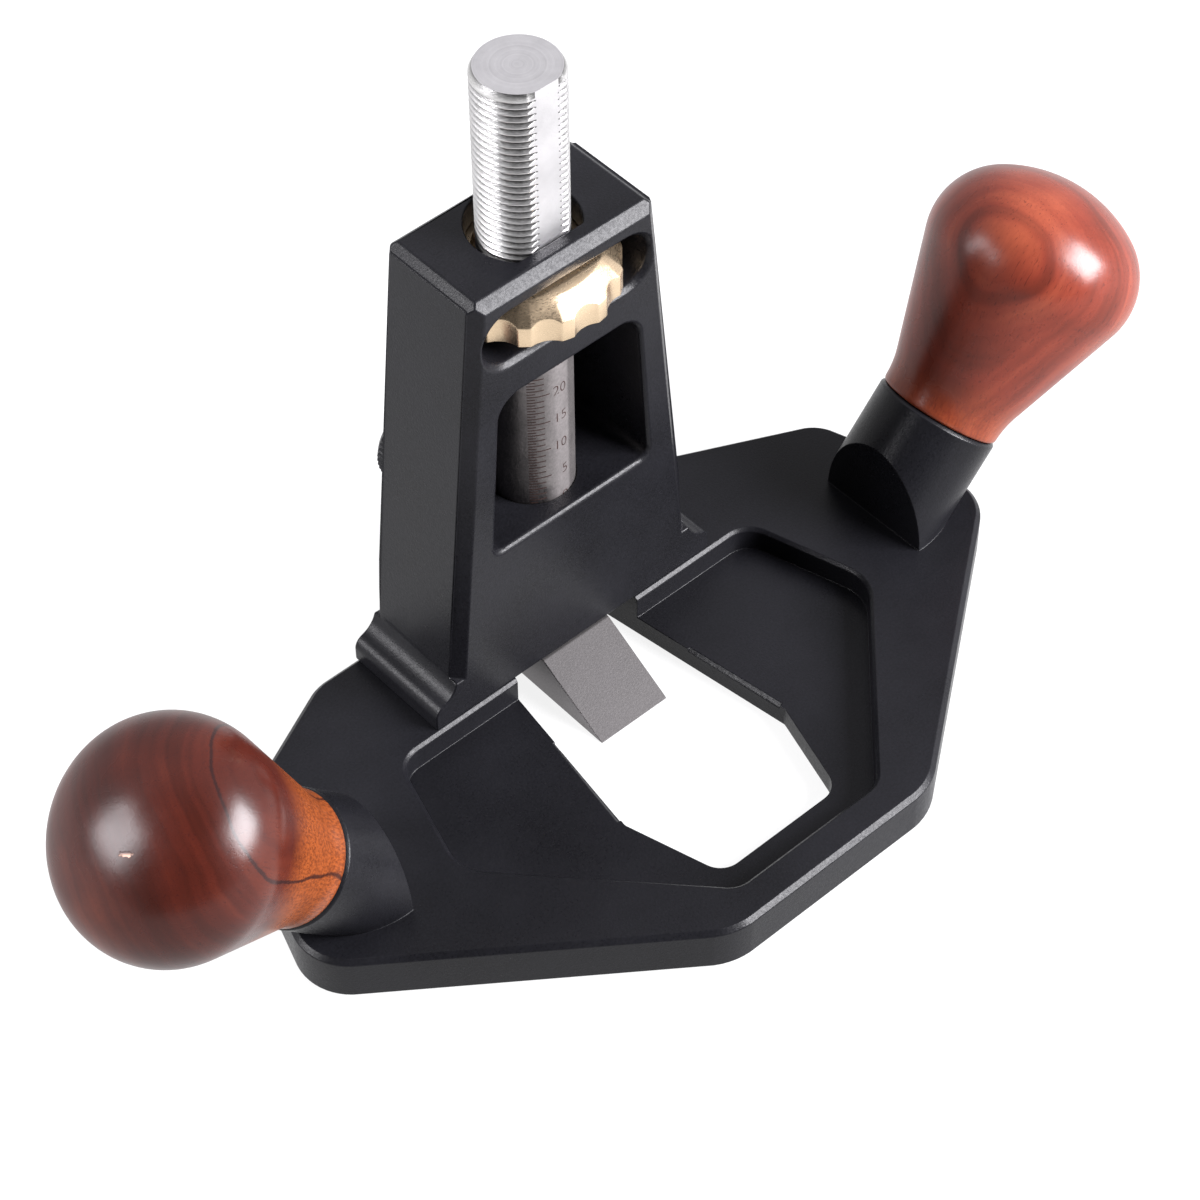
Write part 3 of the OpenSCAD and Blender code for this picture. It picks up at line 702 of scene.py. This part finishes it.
def knob_profile():
    """Outline of a knob from its foot to its crown, in metres."""
    inner = KNOB_R - SHOULDER_R
    crown_gap = KNOB_LEN - SHOULDER_R - SHOULDER_Z
    crown_z = SHOULDER_Z - (inner ** 2 - crown_gap ** 2) / (2 * crown_gap)
    crown_r = KNOB_LEN - crown_z
    meet = math.degrees(math.atan2(SHOULDER_Z - crown_z, inner))
    points = [(1.0, 0.0), (NECK_R - 0.35, 0.0), (NECK_R - 0.1, 0.1)]
    points += arc((NECK_R + NECK_SWEEP, 0.35), NECK_SWEEP, 180, 180 - FLANK, 10)
    points += arc((inner, SHOULDER_Z), SHOULDER_R, -FLANK, meet, 22)
    points += arc((0, crown_z), crown_r, meet, 89.0, 16)[1:]
    return [(r * MM, z * MM) for r, z in points]


for name, material in (("left", wood_left), ("right", wood_right)):
    verts, faces = turned(knob_profile(), 128)
    place = knob_place(name)
    knob = new_object("wood_knob_" + name, [place @ Vector(v) for v in verts], faces, 60)
    piece(knob, "frame", ["knob_" + name], "wood_" + name, material)

# ---- Lock knob at the back ----
LOCK_Z = (lock_low.z + lock_high.z) / 2
LOCK_R = (lock_high.z - lock_low.z) / 2
KNURLS = 48
POINTS_PER_KNURL = 6
KNURL_DEPTH = 0.22
DRAWN_R, DRAWN_LEN = 6.6, 9.0


def lock_knob():
    """The knurled knob, from rows of (radius, place along it, knurl) scaled to its CAD box."""
    y0, y1 = lock_low.y, lock_high.y
    profile = [(3.1, 0.0, 0), (4.9, 0.0, 0), (5.2, 0.3, 0), (5.2, 2.0, 0), (5.6, 2.0, 0),
               (6.3, 2.7, 0.3), (DRAWN_R, 3.0, 1), (DRAWN_R, 8.0, 1), (6.3, 8.3, 0.3),
               (5.6, DRAWN_LEN, 0), (4.4, DRAWN_LEN, 0), (4.0, 8.8, 0), (0.3, 8.8, 0)]
    around = KNURLS * POINTS_PER_KNURL
    scale = (LOCK_R / MM) / DRAWN_R
    verts = []
    for r, along, knurl in profile:
        for i in range(around):
            a = TAU * i / around
            dip = KNURL_DEPTH * knurl * (0.5 - 0.5 * math.cos(a * KNURLS))
            rr = (r * scale - dip) * MM
            verts.append((rr * math.cos(a), y0 + along * (y1 - y0) / DRAWN_LEN,
                          LOCK_Z + rr * math.sin(a)))
    return verts, rings_to_faces(len(profile), around)


lock = new_object("clamp_knob", *lock_knob(), 30)
piece(lock, "lock", ["lock_knob"], "lock_black", black_lock)

# ---- Pieces whose CAD shape is right already ----
for node, material in (("blade_screw", steel_dark), ("blade_pin", steel_pin),
                       ("lock_screw", steel_pin), ("lock_pad", brass_inner),
                       ("knob_insert_left", brass_inner), ("knob_insert_right", brass_inner),
                       ("knob_stud_left", steel_pin), ("knob_stud_right", steel_pin),
                       ("tower_screws", steel_dark), ("tower_dowels", steel_pin)):
    mesh = frame["nodes"][node].data
    if not mesh.materials:
        mesh.materials.append(material)
    for i in range(len(mesh.materials)):
        mesh.materials[i] = material

# ---- Floor ----
FLOOR = 2.5
floor = new_object("floor", [(-FLOOR, -FLOOR, 0), (FLOOR, -FLOOR, 0), (FLOOR, FLOOR, 0),
                             (-FLOOR, FLOOR, 0)], [(0, 1, 2, 3)])
paper = Nodes("white_paper", base_color=(0.12, 0.12, 0.12, 1), roughness=0.95,
              emission_color=(1, 1, 1, 1), emission_strength=0.86)
floor.data.materials.append(paper.material)

# ---- Light ----
WORLD_BRIGHT, WORLD_DARK = 1.0, 0.10
DARK_BELOW_CAMERA = 15
DARK_CORE, DARK_REACH = 30, 80
COOL = (0.975, 0.965, 1.0)
CAM_AZIMUTH, CAM_ELEVATION, CAM_ROLL = -41.463, 48.778, -0.599


def studio_walls():
    """An even white room with a dark side a little below where the camera stands."""
    world = bpy.data.worlds.new("studio")
    bpy.context.scene.world = world
    world.use_nodes = True
    tree = world.node_tree
    a, e = math.radians(CAM_AZIMUTH), math.radians(CAM_ELEVATION - DARK_BELOW_CAMERA)
    to_camera = (math.sin(a) * math.cos(e), -math.cos(a) * math.cos(e), math.sin(e))
    way = tree.nodes.new("ShaderNodeTexCoord")
    facing = tree.nodes.new("ShaderNodeVectorMath")
    facing.operation = "DOT_PRODUCT"
    facing.inputs[1].default_value = to_camera
    level = tree.nodes.new("ShaderNodeMapRange")
    level.interpolation_type = "SMOOTHSTEP"
    level.inputs["From Min"].default_value = math.cos(math.radians(DARK_REACH))
    level.inputs["From Max"].default_value = math.cos(math.radians(DARK_CORE))
    level.inputs["To Min"].default_value = WORLD_BRIGHT
    level.inputs["To Max"].default_value = WORLD_DARK
    tree.links.new(way.outputs["Generated"], facing.inputs[0])
    tree.links.new(facing.outputs["Value"], level.inputs["Value"])
    tree.links.new(level.outputs["Result"], tree.nodes["Background"].inputs["Strength"])
    tree.nodes["Background"].inputs["Color"].default_value = (*COOL, 1)


studio_walls()
MIDDLE = Vector((0, 0, 0.04))


def softbox(name, azimuth, elevation, distance, size, radiance):
    """A square soft light that faces the object. Azimuth is measured from +X, in degrees."""
    a, e = math.radians(azimuth), math.radians(elevation)
    way = Vector((math.cos(a) * math.cos(e), math.sin(a) * math.cos(e), math.sin(e)))
    light = bpy.data.lights.new(name, "AREA")
    light.shape = "SQUARE"
    light.size = size
    light.energy = radiance * math.pi * size ** 2
    light.color = COOL
    obj = bpy.data.objects.new(name, light)
    obj.location = MIDDLE + way * distance
    obj.rotation_euler = way.to_track_quat("Z", "Y").to_euler()
    bpy.context.scene.collection.objects.link(obj)
    return obj


softbox("right_softbox", -55, 29, 0.9, 0.50, 52.0)
softbox("left_softbox", 156, 27, 0.9, 0.44, 22.0)

# ---- Camera ----
CAM_DISTANCE = 487.87 * MM
CAM_TARGET = Vector((11.16 * MM, AXIS_Y - 0.94 * MM, 0))
CAM_LENS = 104.04


def camera():
    a, e = math.radians(CAM_AZIMUTH), math.radians(CAM_ELEVATION)
    back = Vector((math.sin(a) * math.cos(e), -math.cos(a) * math.cos(e), math.sin(e)))
    right = Vector((math.cos(a), math.sin(a), 0))
    up = back.cross(right)
    roll = math.radians(CAM_ROLL)
    turned_right = right * math.cos(roll) + up * math.sin(roll)
    turned_up = up * math.cos(roll) - right * math.sin(roll)
    data = bpy.data.cameras.new("camera")
    data.sensor_width = 36
    data.lens = CAM_LENS
    data.clip_start = 0.01
    data.clip_end = 20
    obj = bpy.data.objects.new("camera", data)
    place = Matrix((turned_right, turned_up, back)).transposed().to_4x4()
    place.translation = CAM_TARGET + back * CAM_DISTANCE
    obj.matrix_world = place
    bpy.context.scene.collection.objects.link(obj)
    bpy.context.scene.camera = obj


camera()
bpy.context.scene.view_settings.view_transform = "Standard"
